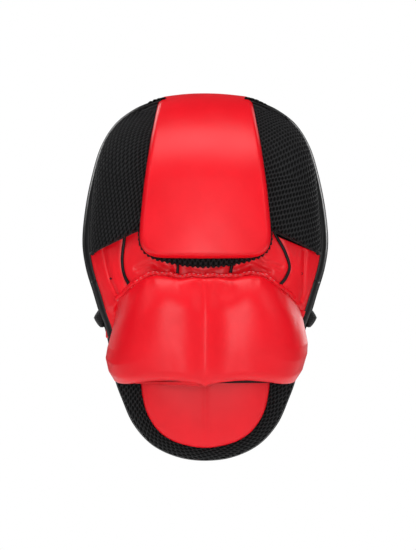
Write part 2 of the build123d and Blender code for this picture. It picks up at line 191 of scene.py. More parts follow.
def even_points(line, count, closed=False):
    """Return count points spaced evenly along a line of straight runs."""
    length = np.concatenate([[0], np.cumsum(np.linalg.norm(np.diff(line, axis=0), axis=1))])
    at = np.linspace(0, length[-1], count, endpoint=not closed)
    return np.stack([np.interp(at, length, line[:, k]) for k in range(line.shape[1])], axis=1)


def normals_2d(line, closed=False):
    """Return the unit normals on the right of a flat line."""
    if closed:
        along = np.roll(line, -1, axis=0) - np.roll(line, 1, axis=0)
    else:
        along = np.gradient(line, axis=0)
    along /= np.linalg.norm(along, axis=1)[:, None]
    return np.stack([along[:, 1], -along[:, 0]], axis=1)


def distance_to(points, line):
    """Return each point's distance to a dense line."""
    out = np.empty(len(points))
    for start in range(0, len(points), 2000):
        chunk = points[start : start + 2000]
        out[start : start + 2000] = np.sqrt(((chunk[:, None, :] - line[None, :, :]) ** 2).sum(-1)).min(1)
    return out


def smoothstep(low, high, value):
    """Return 0 below low and 1 above high, with a soft step between."""
    t = np.clip((value - low) / (high - low), 0, 1)
    return t * t * (3 - 2 * t)


def bell(value, centre, width):
    """Return a bump of height 1 at the centre."""
    return np.exp(-(((value - centre) / width) ** 2))


def bend(x, z, height):
    """Place points on the pad's bent frame."""
    x, z, height = np.broadcast_arrays(np.asarray(x, float), z, height)
    y = CURVE_RADIUS - np.sqrt((CURVE_RADIUS + height) ** 2 - z**2)
    return np.stack([x, y, z], axis=-1)


def arch_drop(x):
    """Return how far an arch over the hand falls below its crown."""
    return ARCH_RADIUS - np.sqrt(np.maximum(ARCH_RADIUS**2 - np.asarray(x, float) ** 2, 1.0))


def ripple(x, z, seed):
    """Return a smooth, repeatable unevenness of about -1 to 1."""
    a = np.sin(0.11 * x + 1.7 * seed) * np.cos(0.083 * z - 0.9 * seed)
    b = np.sin(0.047 * x - 0.061 * z + 2.3 * seed)
    c = np.sin(0.19 * x + 0.13 * z + 0.6 * seed)
    return 0.5 * a + 0.35 * b + 0.15 * c


# ---------------------------------------------------------------- meshes


def new_object(name, vertices, faces, body="pad", material=None):
    """Make a mesh object from points in millimetres, riding on a body."""
    mesh = bpy.data.meshes.new(name)
    mesh.from_pydata((np.asarray(vertices, float) * MM).tolist(), [], [list(face) for face in faces])
    mesh.validate()
    mesh.update()
    piece = bpy.data.objects.new(name, mesh)
    bpy.context.scene.collection.objects.link(piece)
    mesh.polygons.foreach_set("use_smooth", [True] * len(mesh.polygons))
    if material:
        mesh.materials.append(material)
    if body:
        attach(piece, body)
    return piece


def grid_faces(rows, columns, wrap_rows=False, wrap_columns=False, start=0, flip=False):
    """Return the quads of a grid of points stored row by row."""
    faces = []
    for r in range(rows if wrap_rows else rows - 1):
        r2 = (r + 1) % rows
        for c in range(columns if wrap_columns else columns - 1):
            c2 = (c + 1) % columns
            low, high = start + r * columns, start + r2 * columns
            quad = [low + c, low + c2, high + c2, high + c]
            faces.append(quad[::-1] if flip else quad)
    return faces


def end_caps(rows, columns, start=0):
    """Return the two faces that close the ends of a grid that is wrapped round its columns."""
    first = start + (rows - 1) * columns
    return [list(range(start, start + columns))[::-1], list(range(first, first + columns))]


def subdivide(piece, levels):
    """Apply a subdivision surface to a piece."""
    modifier = piece.modifiers.new("smooth", "SUBSURF")
    modifier.levels = levels
    modifier.render_levels = levels
    apply_modifiers(piece)


def thicken(piece, thickness):
    """Give a sheet a thickness, on its inner side."""
    modifier = piece.modifiers.new("thickness", "SOLIDIFY")
    modifier.thickness = thickness * MM
    apply_modifiers(piece)


def apply_modifiers(piece):
    """Bake every modifier of a piece into its mesh."""
    graph = bpy.context.evaluated_depsgraph_get()
    mesh = bpy.data.meshes.new_from_object(piece.evaluated_get(graph), depsgraph=graph)
    old = piece.data
    piece.modifiers.clear()
    piece.data = mesh
    mesh.name = piece.name
    bpy.data.meshes.remove(old)
    mesh.polygons.foreach_set("use_smooth", [True] * len(mesh.polygons))


def facing_out(piece):
    """Turn every face of a closed piece outwards."""
    work = bmesh.new()
    work.from_mesh(piece.data)
    bmesh.ops.recalc_face_normals(work, faces=work.faces)
    work.to_mesh(piece.data)
    work.free()


def tube(name, path, radius, material, sides=10, closed=False, flat=1.0, wobble=0.0):
    """Make a round or flattened tube along a 3-D path."""
    path = np.asarray(path, float)
    if closed:
        along = np.roll(path, -1, axis=0) - np.roll(path, 1, axis=0)
    else:
        along = np.gradient(path, axis=0)
    along /= np.linalg.norm(along, axis=1)[:, None]
    up = np.tile([0.0, -1.0, 0.0], (len(path), 1))
    side = np.cross(along, up)
    side /= np.linalg.norm(side, axis=1)[:, None]
    up = np.cross(side, along)
    turn = np.linspace(0, 2 * math.pi, sides, endpoint=False)
    swell = 1 + wobble * np.sin(np.arange(len(path)) * 0.9)[:, None, None]
    across, outward = np.cos(turn)[None, :, None] * flat, np.sin(turn)[None, :, None]
    ring = across * side[:, None, :] + outward * up[:, None, :]
    points = (path[:, None, :] + radius * swell * ring).reshape(-1, 3)
    faces = grid_faces(len(path), sides, wrap_rows=closed, wrap_columns=True)
    if not closed:
        faces += end_caps(len(path), sides)
    piece = new_object(name, points, faces, "pad", material)
    facing_out(piece)
    return piece


# A stitch's centre line and thickness, from end to end, as shares of its length and its radius
STITCH_ALONG = np.array([-0.5, -0.42, -0.2, 0.0, 0.2, 0.42, 0.5])
STITCH_RISE = np.array([-0.9, -0.2, 0.35, 0.5, 0.35, -0.2, -0.9])
STITCH_SIZE = np.array([0.35, 0.85, 1.0, 1.0, 1.0, 0.85, 0.35])
STITCH_SIDES = 6


def stitches(name, path, material, length=2.3, gap=1.3, radius=0.34, out=(0, -1, 0)):
    """Lay a row of sewn stitches along a 3-D path, as one piece."""
    path = np.asarray(path, float)
    run = np.concatenate([[0], np.cumsum(np.linalg.norm(np.diff(path, axis=0), axis=1))])
    count = max(2, int(run[-1] / (length + gap)))
    vertices, faces = [], []
    turn = np.linspace(0, 2 * math.pi, STITCH_SIDES, endpoint=False)
    for middle in (np.arange(count) + 0.5) * run[-1] / count:
        at = middle + STITCH_ALONG * length
        line = np.stack([np.interp(at, run, path[:, axis]) for axis in range(3)], axis=1)
        along = line[-1] - line[0]
        along /= np.linalg.norm(along)
        normal = out - along * np.dot(out, along)
        normal /= np.linalg.norm(normal)
        side = np.cross(along, normal)
        line = line + normal * STITCH_RISE[:, None] * radius
        ring = np.cos(turn)[None, :, None] * side + np.sin(turn)[None, :, None] * normal
        points = (line[:, None, :] + radius * STITCH_SIZE[:, None, None] * ring).reshape(-1, 3)
        start = len(vertices)
        vertices.extend(points)
        faces += grid_faces(len(at), STITCH_SIDES, wrap_columns=True, start=start)
        faces += end_caps(len(at), STITCH_SIDES, start)
    piece = new_object(name, vertices, faces, "pad", material)
    facing_out(piece)
    return piece


def panel(name, loop, centre, top, bottom, place, rings, material, body="pad", crowd=1.6):
    """Make a closed padded panel over a flat loop.

    top and bottom give the height of each side from a point's place and its distance to the loop, and
    place turns flat places and heights into points.
    """
    centre = np.asarray(centre, float)
    share = 1 - np.linspace(0, 1, rings + 1)[:-1] ** crowd
    flat = centre + share[:, None, None] * (loop - centre)[None, :, :]
    count = len(loop)
    points = np.vstack([flat.reshape(-1, 2), centre[None, :]])
    dense = even_points(np.vstack([loop, loop[:1]]), 900)
    edge = distance_to(points, dense)
    edge[:count] = 0
    upper = place(points[:, 0], points[:, 1], top(points[:, 0], points[:, 1], edge))
    lower = place(points[:, 0], points[:, 1], bottom(points[:, 0], points[:, 1], edge))
    faces = grid_faces(rings, count, wrap_columns=True)
    last = rings * count
    faces += [[(rings - 1) * count + c, (rings - 1) * count + (c + 1) % count, last] for c in range(count)]
    # the lower side shares the outer loop of the upper side
    offset = len(points) - count
    lower_faces = [[v if v < count else v + offset for v in face][::-1] for face in faces]
    vertices = np.vstack([upper, lower[count:]])
    piece = new_object(name, vertices, faces + lower_faces, body, material)
    facing_out(piece)
    return piece


def puff(edge, reach, power=2.3):
    """Return 0 at a seam, rising round to 1 at reach from it."""
    t = np.clip(edge / reach, 0, 1)
    return (1 - (1 - t) ** power) ** (1 / power)


def smooth_field(mesh, field, held, passes):
    """Average the vertices' movement with their neighbours', so its broad shape is left. Held ones stay."""
    ends = np.empty(len(mesh.edges) * 2, dtype=np.int32)
    mesh.edges.foreach_get("vertices", ends)
    first, second = ends[::2], ends[1::2]
    count = len(field)
    neighbours = np.maximum(np.bincount(ends, minlength=count), 1)[:, None]
    for _ in range(passes):
        total = np.stack([
            np.bincount(first, field[second, axis], count) + np.bincount(second, field[first, axis], count)
            for axis in range(3)
        ], axis=1)
        field = (field + total / neighbours) / 2
        field[held] = 0
    return field


def inflate(piece, held):
    """Let air pressure and the cloth's stiffness settle a padded piece near where it was."""
    mesh = piece.data
    before = np.empty(len(mesh.vertices) * 3)
    mesh.vertices.foreach_get("co", before)
    before = before.reshape(-1, 3)
    group = piece.vertex_groups.new(name="pinned")
    group.add([int(index) for index in held], 1.0, "REPLACE")
    modifier = piece.modifiers.new("cloth", "CLOTH")
    cloth = modifier.settings
    cloth.quality = 6
    cloth.mass = 0.3
    cloth.vertex_group_mass = "pinned"
    cloth.use_pressure = True
    cloth.uniform_pressure_force = CLOTH_PRESSURE
    cloth.shrink_min = CLOTH_SHRINK
    cloth.tension_stiffness = CLOTH_STIFFNESS
    cloth.compression_stiffness = CLOTH_STIFFNESS
    cloth.shear_stiffness = CLOTH_BENDING
    cloth.bending_stiffness = CLOTH_BENDING
    cloth.air_damping = 4.0
    cloth.effector_weights.gravity = 0.0
    scene = bpy.context.scene
    modifier.point_cache.frame_start = 1
    modifier.point_cache.frame_end = CLOTH_FRAMES
    for step in range(1, CLOTH_FRAMES + 1):
        scene.frame_set(step)
    graph = bpy.context.evaluated_depsgraph_get()
    settled = piece.evaluated_get(graph).to_mesh()
    after = np.empty(len(settled.vertices) * 3)
    settled.vertices.foreach_get("co", after)
    after = after.reshape(-1, 3)
    piece.evaluated_get(graph).to_mesh_clear()
    scene.frame_set(1)
    piece.modifiers.clear()
    piece.vertex_groups.clear()
    moved = after - before
    size = np.linalg.norm(moved, axis=1)[:, None]
    moved *= np.minimum(1, CLOTH_REACH * MM / np.maximum(size, 1e-9))
    moved = smooth_field(mesh, moved, np.array(held, dtype=int), CLOTH_SMOOTHING)
    mesh.vertices.foreach_set("co", (before + moved).ravel())
    mesh.update()


# ---------------------------------------------------------------- materials


def material(name, color, roughness):
    """Make a material and return it with its node tree and shader."""
    made = bpy.data.materials.new(name)
    made.use_nodes = True
    shader = made.node_tree.nodes["Principled BSDF"]
    shader.inputs["Base Color"].default_value = (*color, 1)
    shader.inputs["Roughness"].default_value = roughness
    return made, made.node_tree, shader


def add_node(tree, kind, **values):
    """Add a node and set its properties and inputs by name."""
    node = tree.nodes.new(kind)
    for key, value in values.items():
        if key in node.inputs:
            node.inputs[key].default_value = value
        else:
            setattr(node, key.replace(" ", "_").lower(), value)
    return node


def place_vector(tree, scale):
    """Return an output with the piece's own coordinates, scaled."""
    coordinates = tree.nodes.new("ShaderNodeTexCoord")
    mapping = tree.nodes.new("ShaderNodeMapping")
    mapping.inputs["Scale"].default_value = scale
    tree.links.new(coordinates.outputs["Object"], mapping.inputs["Vector"])
    return mapping.outputs["Vector"]


def add_ramp(tree, shader, share, colors, places=(0.0, 1.0)):
    """Colour a shader by a share, from the first of two colours to the second."""
    ramp = tree.nodes.new("ShaderNodeValToRGB")
    for element, color, place in zip(ramp.color_ramp.elements, colors, places):
        element.position = place
        element.color = (*color, 1)
    tree.links.new(share, ramp.inputs["Fac"])
    tree.links.new(ramp.outputs["Color"], shader.inputs["Base Color"])


def add_bump(tree, shader, height, strength, distance):
    """Give a shader fine relief from a height."""
    bump = add_node(tree, "ShaderNodeBump", Strength=strength, Distance=distance)
    tree.links.new(height, bump.inputs["Height"])
    tree.links.new(bump.outputs["Normal"], shader.inputs["Normal"])


def noise_at(tree, **values):
    """Add soft noise in the piece's own coordinates and return it as a share."""
    noise = add_node(tree, "ShaderNodeTexNoise", **values)
    tree.links.new(place_vector(tree, (1, 1, 1)), noise.inputs["Vector"])
    return noise.outputs["Fac"]


def leather(name, color, other, roughness, coat, level):
    """Make coated synthetic leather, with its pebbled grain and uneven gloss."""
    made, tree, shader = material(name, color, roughness)
    mottle = noise_at(tree, Scale=22.0, Detail=4.0, Roughness=0.6)
    add_ramp(tree, shader, mottle, (color, other), (0.35, 0.68))
    shader.inputs["Coat Weight"].default_value = coat
    shader.inputs["Coat Roughness"].default_value = 0.3
    shader.inputs["Specular IOR Level"].default_value = level
    pebbles = add_node(tree, "ShaderNodeTexVoronoi", Scale=1150.0, Randomness=1.0)
    pebbles.feature = "DISTANCE_TO_EDGE"
    tree.links.new(place_vector(tree, (1, 1, 1)), pebbles.inputs["Vector"])
    grain = add_node(tree, "ShaderNodeMath", operation="MULTIPLY_ADD")
    grain.inputs[1].default_value = 1.4
    tree.links.new(pebbles.outputs["Distance"], grain.inputs[0])
    tree.links.new(noise_at(tree, Scale=240.0, Detail=5.0, Roughness=0.65), grain.inputs[2])
    add_bump(tree, shader, grain.outputs[0], 0.16, 0.0004)
    gloss = add_node(tree, "ShaderNodeMapRange")
    gloss.inputs["To Min"].default_value = roughness - 0.05
    gloss.inputs["To Max"].default_value = roughness + 0.09
    tree.links.new(noise_at(tree, Scale=60.0, Detail=3.0), gloss.inputs["Value"])
    tree.links.new(gloss.outputs["Result"], shader.inputs["Roughness"])
    return made


def cloth_weave(name, color, other, scale, sheen=0.3, depth=0.0003):
    """Make a plain woven cloth from two crossed sets of threads."""
    made, tree, shader = material(name, color, 0.85)
    shader.inputs["Sheen Weight"].default_value = sheen
    shader.inputs["Sheen Roughness"].default_value = 0.5
    shader.inputs["Specular IOR Level"].default_value = 0.25
    vector = place_vector(tree, (1, 1, 1))
    weave = add_node(tree, "ShaderNodeMath", operation="MULTIPLY")
    for number, direction in enumerate(("X", "Z")):
        wave = add_node(tree, "ShaderNodeTexWave", Scale=scale, Distortion=0.6, Detail=1.0)
        wave.bands_direction = direction
        tree.links.new(vector, wave.inputs["Vector"])
        tree.links.new(wave.outputs["Fac"], weave.inputs[number])
    add_ramp(tree, shader, weave.outputs[0], (color, other))
    add_bump(tree, shader, weave.outputs[0], 0.5, depth)
    return made


def air_mesh_material():
    """Make the knitted spacer mesh's yarn, with painted shade: near black where it lies deep in a pushed-in
    hole.
    """
    made, tree, shader = material("air_mesh", (0.012, 0.012, 0.013), 0.55)
    shader.inputs["Sheen Weight"].default_value = 0.04
    shader.inputs["Sheen Roughness"].default_value = 0.4
    shader.inputs["Specular IOR Level"].default_value = 0.09
    yarn = tree.nodes.new("ShaderNodeAttribute")
    yarn.attribute_name = "yarn"
    # painted shade: the pushed-in holes get a near-black colour for the dark seen through a real hole, and
    # the yarn keeps its own dark grey
    colors = ((0.0006, 0.0006, 0.0007), (0.019, 0.019, 0.020))
    add_ramp(tree, shader, yarn.outputs["Fac"], colors, (0.3, 1.0))
    fibres = add_node(tree, "ShaderNodeTexNoise", Scale=1800.0, Detail=2.0)
    tree.links.new(place_vector(tree, (1, 1, 0.35)), fibres.inputs["Vector"])
    add_bump(tree, shader, fibres.outputs["Fac"], 0.5, 0.0003)
    return made


def foam_material():
    """Make closed-cell foam, with fine cells and slight yellowing."""
    made, tree, shader = material("foam", (0.75, 0.73, 0.66), 0.9)
    colors = ((0.72, 0.69, 0.6), (0.8, 0.78, 0.72))
    add_ramp(tree, shader, noise_at(tree, Scale=30.0, Detail=4.0, Roughness=0.6), colors, (0.35, 0.68))
    cells = add_node(tree, "ShaderNodeTexVoronoi", Scale=900.0)
    tree.links.new(place_vector(tree, (1, 1, 1)), cells.inputs["Vector"])
    add_bump(tree, shader, cells.outputs["Distance"], 0.4, 0.0004)
    return made


RED = leather("red_pu", (0.86, 0.003, 0.013), (0.78, 0.002, 0.010), 0.38, 0.06, level=0.30)
BLACK = leather("black_pu", (0.006, 0.006, 0.0065), (0.010, 0.010, 0.0105), 0.34, 0.05, level=0.15)
MESH = air_mesh_material()
LINING = cloth_weave("lining_cloth", (0.006, 0.006, 0.0065), (0.022, 0.022, 0.024), 260.0, sheen=0.1)
WEBBING = cloth_weave(
    "webbing_cloth", (0.005, 0.005, 0.0055), (0.018, 0.018, 0.019), 210.0, sheen=0.08, depth=0.0006
)
FOAM = foam_material()
PINK_THREAD = cloth_weave("pink_thread", (0.75, 0.16, 0.18), (0.9, 0.34, 0.36), 900.0)
BLACK_THREAD = cloth_weave("black_thread", (0.008, 0.008, 0.009), (0.03, 0.03, 0.03), 900.0)
# The vents' near-black colour is painted shade, for the dark inside the holes.
HOLE_SHADE = material("vent_hole_shade", (0.01, 0.001, 0.002), 0.9)[0]


# ---------------------------------------------------------------- outlines

# The pad's right half, from the middle of the crown down to the middle of the heel, as (x, z)
HALF_OUTLINE = [
    (0, 159.2),
    (26, 158.7),
    (36, 157.6),
    (45, 154.6),
    (56, 149.4),
    (70, 138.5),
    (81, 121),
    (88.5, 96),
    (93.6, 68),
    (95.2, 44),
    (92.4, 25),
    (86.7, 6),
    (82.2, -9),
    (78.2, -20),
    (75.6, -30),
    (73.6, -41),
    (69.8, -62),
    (64.5, -77),
    (55.5, -97),
    (41, -113),
    (21, -122.5),
    (0, -125.2),
]
LOOP_COUNT = 420
pad_loop = smooth_curve(mirror_closed(HALF_OUTLINE), LOOP_COUNT, closed=True)
pad_normal = -normals_2d(pad_loop, closed=True)
if ((pad_loop + pad_normal) ** 2).sum() < (pad_loop**2).sum():
    pad_normal = -pad_normal


def inset_loop(inset):
    """Return the pad's outline, moved in by an inset that may vary along it."""
    return pad_loop - pad_normal * np.reshape(inset, (-1, 1))


def lip_width(z):
    """Return how far the side wall's lip reaches in over the hand side."""
    return 0.8 + 4.8 * smoothstep(-66, -50, z) - 3.6 * smoothstep(50, 118, z)


def loop_inset(amount):
    """Return the outline moved in by an amount that depends on the level."""
    return pad_loop - pad_normal * amount(pad_loop[:, 1])[:, None]


def half_width_at(z):
    """Return the outline's half width at a level, on the right half."""
    right = pad_loop[pad_loop[:, 0] > 0]
    order = np.argsort(right[:, 1])
    return np.interp(z, right[order, 1], right[order, 0])


def loop_part(keep):
    """Return the indices of the stretch of the outline where keep is true, in order."""
    inside = keep(pad_loop)
    start = next(i for i in range(LOOP_COUNT) if inside[i] and not inside[i - 1])
    indices = []
    for step in range(LOOP_COUNT):
        index = (start + step) % LOOP_COUNT
        if not inside[index]:
            break
        indices.append(index)
    return np.array([(start - 1) % LOOP_COUNT, *indices, (start + len(indices)) % LOOP_COUNT])


# ---------------------------------------------------------------- the pad's side wall, face and piping


def wall_profile(z):
    """Return the wall's section at a level: rows of (inset, height), outside first, then back inside."""
    seam = lip_width(z)
    outside = [
        (seam, 0.9),
        (seam * 0.62 + 0.2, 1.3),
        (seam * 0.28 + 0.25, 0.3),
        (0.45, -2.6),
        (0.05, -7.5),
        (0.0, -13.0),
        (0.1, -19.0),
        (0.3, -24.5),
        (0.8, -28.3),
    ]
    inside = [(inset + 1.0, height if height < 0 else 0.2) for inset, height in outside[::-1]]
    return np.array(outside + inside)


def side_wall(name, keep, node):
    """Make one length of the side wall."""
    indices = loop_part(keep)
    points = []
    for index in indices:
        spot, normal = pad_loop[index], pad_normal[index]
        section = wall_profile(spot[1])
        swell = 1 + 0.25 * ripple(spot[0] * 2.2, spot[1] * 2.2, 3.0)
        inset = np.where(section[:, 0] < 1.0, section[:, 0] * swell, section[:, 0])
        flat = spot - inset[:, None] * normal
        points.append(bend(flat[:, 0], flat[:, 1], section[:, 1]))
    shape = len(points), len(points[0])
    faces = grid_faces(*shape, wrap_columns=True) + end_caps(*shape)
    piece = new_object(name, np.vstack(points), faces, "pad", BLACK)
    facing_out(piece)
    subdivide(piece, 1)
    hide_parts(node)


def between_seams(points):
    """Return which points are on the two short side walls."""
    return (points[:, 1] < WALL_SEAM_Z) & (points[:, 1] > HEEL_SEAM_Z)


side_wall("wall_crown", lambda p: p[:, 1] > WALL_SEAM_Z, "side_wall_crown")
side_wall("wall_left", lambda p: between_seams(p) & (p[:, 0] < 0), "side_wall_left")
side_wall("wall_right", lambda p: between_seams(p) & (p[:, 0] > 0), "side_wall_right")
side_wall("wall_heel", lambda p: p[:, 1] < HEEL_SEAM_Z, "side_wall_heel")


def clipped_loop(loop, level, above, count=260):
    """Return the part of a loop above or below a level, closed along the level."""
    keep = loop[:, 1] > level if above else loop[:, 1] < level
    start = next(i for i in range(len(loop)) if keep[i] and not keep[i - 1])
    ordered = np.roll(loop, -start, axis=0)
    kept = ordered[: int(keep.sum())]
    ends = np.vstack([[kept[0][0], level], kept, [kept[-1][0], level], [kept[0][0], level]])
    return even_points(ends, count, closed=True)


FACE_SEAM_RADIUS = 49.5


def face_top(x, z, edge):
    """Return the striking face's height: puffed near its seams and sewn down round the target."""
    radius = np.hypot(x, z - PATCH_Z)
    sewn = 0.9 * bell(radius, FACE_SEAM_RADIUS, 1.3)
    rough = 0.25 * ripple(x * 1.5, z * 1.5, 1.0) * puff(edge, 20)
    return FACE_HEIGHT + 1.2 - 2.0 * puff(edge, 9) + sewn - rough


def face_bottom(x, z, edge):
    """Return the height of the face cover's inner side."""
    return FACE_HEIGHT + 1.2 + 0.25 * puff(edge, 6)


face_loop = inset_loop(1.7)
for name, above, node, tone, slot_name, heart in (
    ("striking_face", True, "face_upper", BLACK, "black_pu", (0, 62)),
    ("striking_heel", False, "face_lower", RED, "red_pu", (0, -66)),
):
    shape = clipped_loop(face_loop, WEBBING_Z, above)
    face_piece = panel(
        name, shape, heart, face_top, face_bottom, bend, 34, tone, "pad", crowd=1.5
    )
    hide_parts(node)

piping_loop = inset_loop(0.5)
piping_path = bend(piping_loop[:, 0], piping_loop[:, 1], np.full(LOOP_COUNT, FACE_HEIGHT + 1.0))
face_bead = tube("face_bead", piping_path, 1.7, BLACK, sides=12, closed=True)
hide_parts("face_piping")


def disc(name, inner, outer, rise, node):
    """Make a flat round patch or ring on the striking face, with rolled edges."""
    turns = 160
    turn = np.linspace(0, 2 * math.pi, turns, endpoint=False)
    if inner:
        share = np.array([-1, -0.97, -0.9, -0.75, -0.4, 0, 0.4, 0.75, 0.9, 0.97, 1])
        radii = (inner + outer) / 2 + (outer - inner) / 2 * share
        lift = rise * (1 - np.abs(share) ** 6) ** 0.5
    else:
        share = np.array([1, 0.99, 0.965, 0.93, 0.88, 0.8, 0.65, 0.45, 0.25, 0.1, 0.02])
        radii = outer * share
        lift = rise * (1 - share**14) ** 0.5 + 0.5 * (1 - share**2)
    # the circles that lie in the face come first, then the ones in front of it
    radii = np.concatenate([radii[::-1][1:-1], radii])
    height = face_surface - np.concatenate([np.full(len(lift) - 2, -0.25), lift])
    rings = [bend(r * np.cos(turn), PATCH_Z + r * np.sin(turn), level) for r, level in zip(radii, height)]
    faces = grid_faces(len(rings), turns, wrap_rows=bool(inner), wrap_columns=True)
    if not inner:
        faces += end_caps(len(rings), turns)
    piece = new_object(name, np.vstack(rings), faces, "pad", RED)
    facing_out(piece)
    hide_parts(node)


face_surface = FACE_HEIGHT - 0.9
disc("target_disc", 0, PATCH_RADIUS, 1.3, "target_patch")
disc("target_hoop", RING_OUTER - 4.0, RING_OUTER, 1.2, "target_ring")
circle = np.linspace(0, 2 * math.pi, 200)
for name, radius, lift, thread in (
    ("target_stitches", PATCH_RADIUS - 3.0, 1.8, PINK_THREAD),
    ("target_stitches_outer", FACE_SEAM_RADIUS, 0.2, BLACK_THREAD),
):
    path = bend(radius * np.cos(circle), PATCH_Z + radius * np.sin(circle), face_surface - lift)
    stitches(name, path, thread, out=(0, 1, 0))


# ---------------------------------------------------------------- the hood's bent and rolled frame


def hood_place(x, run, height):
    """Place points on the hood's frame: run goes up the hand side and on over the crown."""
    x, run, height = np.broadcast_arrays(np.asarray(x, float), run, height)
    angle = np.arcsin(np.clip(run, None, ROLL_RUN) / OUTER_RADIUS)
    y = CURVE_RADIUS - (CURVE_RADIUS + height) * np.cos(angle)
    z = (CURVE_RADIUS + height) * np.sin(angle)
    turn = ROLL_ANGLE + (run - ROLL_RUN) / ROLL_RADIUS
    radius = ROLL_RADIUS - STRIP_HEIGHT + height
    rolled = run > ROLL_RUN
    y = np.where(rolled, ROLL_Y - radius * np.cos(turn), y)
    z = np.where(rolled, ROLL_Z + radius * np.sin(turn), z)
    return np.stack([x, y, z], axis=-1)


def hood_inverse(y, z):
    """Return the run and height of points given by their y and z."""
    angle = np.arctan2(z, CURVE_RADIUS - y)
    low_run = OUTER_RADIUS * np.sin(angle)
    low_height = np.hypot(z, CURVE_RADIUS - y) - CURVE_RADIUS
    turn = np.arctan2(z - ROLL_Z, ROLL_Y - y)
    high_run = ROLL_RUN + (turn - ROLL_ANGLE) * ROLL_RADIUS
    high_height = np.hypot(z - ROLL_Z, ROLL_Y - y) - ROLL_RADIUS + STRIP_HEIGHT
    rolled = angle > ROLL_ANGLE
    return np.where(rolled, high_run, low_run), np.where(rolled, high_height, low_height)


STRIP_HALF = [
    (0, 33.0),
    (22, 33.3),
    (36, 34.0),
    (43.5, 36.2),
    (48.6, 41.5),
    (50.6, 49),
    (50.4, 60),
    (49.4, 72),
    (47.4, 92),
    (45.2, 111),
    (42.7, 133),
    (40.0, 155),
    (37.8, 178),
    (36.0, 200),
    (34.8, 213),
    (31, 219),
    (24, 221),
    (0, 221.5),
]
strip_loop = smooth_curve(mirror_closed(STRIP_HALF), 360, closed=True)


def strip_half_width(run):
    """Return the strip's half width at a run."""
    right = strip_loop[strip_loop[:, 0] > 5]
    order = np.argsort(right[:, 1])
    return np.interp(run, right[order, 1], right[order, 0])


def strip_depth(run):
    """Return the share of the strip's padding that is left towards the crown."""
    return 1 - 0.6 * smoothstep(140, 200, run)


def strip_top(x, run, edge):
    """Return the height of the strip's outer side."""
    top = STRIP_HEIGHT - arch_drop(x) - 7.0 * strip_depth(run) * (1 - puff(edge, 4.6, 2.1))
    return top + 0.25 * ripple(x, run, 5.0) * puff(edge, 18)


def strip_bottom(x, run, edge):
    """Return the height of the strip's inner side."""
    depth = strip_depth(run)
    return STRIP_HEIGHT - arch_drop(x) - 7.0 * depth - 5.5 * depth * puff(edge, 4.0)


strip = panel(
    "hood_strip", strip_loop, (0, 120), strip_top, strip_bottom, hood_place, 46, RED, None, 1.35
)
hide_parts("strip_cover", "strip_foam", "crown_fold", "tongue_cover", "tongue_foam")
hinge_y = float(hood_place(0, TONGUE_Z, STRIP_HEIGHT - 4)[1]) * MM
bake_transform(strip)


# ---------------------------------------------------------------- knitted air mesh


KNIT_PITCH = 4.0
KNIT_STRETCH = 5.4
QUICK_COARSE = 1


def knit_depth(across, along):
    """Return how full the yarn is, from 0 in a hole to 1, for the knit's staggered long holes."""
    column = np.floor(across / (KNIT_PITCH / 2) + 0.5)
    best = np.full(across.shape, 9.0)
    for near in (column - 1, column, column + 1):
        offset = np.where(near % 2 == 0, 0.0, 0.5)
        middle = (np.round(along / KNIT_STRETCH - offset) + offset) * KNIT_STRETCH
        from_side = (across - near * KNIT_PITCH / 2) / (KNIT_PITCH * 0.24)
        best = np.minimum(best, np.hypot(from_side, (along - middle) / (KNIT_STRETCH * 0.40)))
    return smoothstep(0.6, 1.1, best)


def knit(name, grid, lean, body, node, thickness=1.6):
    """Make a panel of air mesh from a fine grid of points, with the knit's holes pushed in."""
    rows, columns = grid.shape[:2]
    step_v = np.linalg.norm(np.diff(grid, axis=0), axis=2).mean()
    step_u = np.linalg.norm(np.diff(grid, axis=1), axis=2).mean(axis=1)
    u = (np.arange(columns)[None, :] - columns / 2) * step_u[:, None]
    v = np.arange(rows)[:, None] * step_v + 0 * u
    across = u * math.cos(lean) + v * math.sin(lean)
    yarn = knit_depth(across, v * math.cos(lean) - u * math.sin(lean))
    ribs = 0.15 * np.cos(across / KNIT_PITCH * 4 * math.pi) * yarn
    normal = np.cross(np.gradient(grid, axis=1), np.gradient(grid, axis=0))
    normal /= np.maximum(np.linalg.norm(normal, axis=2, keepdims=True), 1e-9)
    flip = bool(normal[rows // 2, columns // 2, 1] > 0)
    outward = -normal if flip else normal
    raised = grid + outward * (ribs - 1.0 * (1 - yarn))[:, :, None]
    faces = grid_faces(rows, columns, flip=flip)
    piece = new_object(name, raised.reshape(-1, 3), faces, body, MESH)
    # the yarn share is also the mask for the air mesh's painted shade in the holes
    layer = piece.data.attributes.new("yarn", "FLOAT", "POINT")
    layer.data.foreach_set("value", yarn.ravel().astype(np.float32))
    thicken(piece, thickness)
    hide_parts(node)
    return piece


def hood_rows(side, count, reach):
    """Return, row by row, the outer seam's and the strip's places as (x, run, height)."""
    inner_inset = loop_inset(lambda z: lip_width(z) - 0.4)
    keep = (inner_inset[:, 0] * side > 30) & (inner_inset[:, 1] > 34.5)
    seam = inner_inset[keep]
    seam = seam[np.argsort(np.arctan2(seam[:, 1] - 20, seam[:, 0] * side))]
    seam = even_points(seam, count)
    place = bend(seam[:, 0], seam[:, 1], np.full(count, 0.6))
    run, height = hood_inverse(place[:, 1], place[:, 2])
    outer = np.stack([seam[:, 0], run, height], axis=1)
    share = np.linspace(0, 1, count)
    inner_run = 58.5 + (206 - 58.5) * share**0.98
    inner_x = side * (strip_half_width(inner_run) - reach)
    inner = np.stack([inner_x, inner_run, np.zeros(count)], axis=1)
    return outer, inner


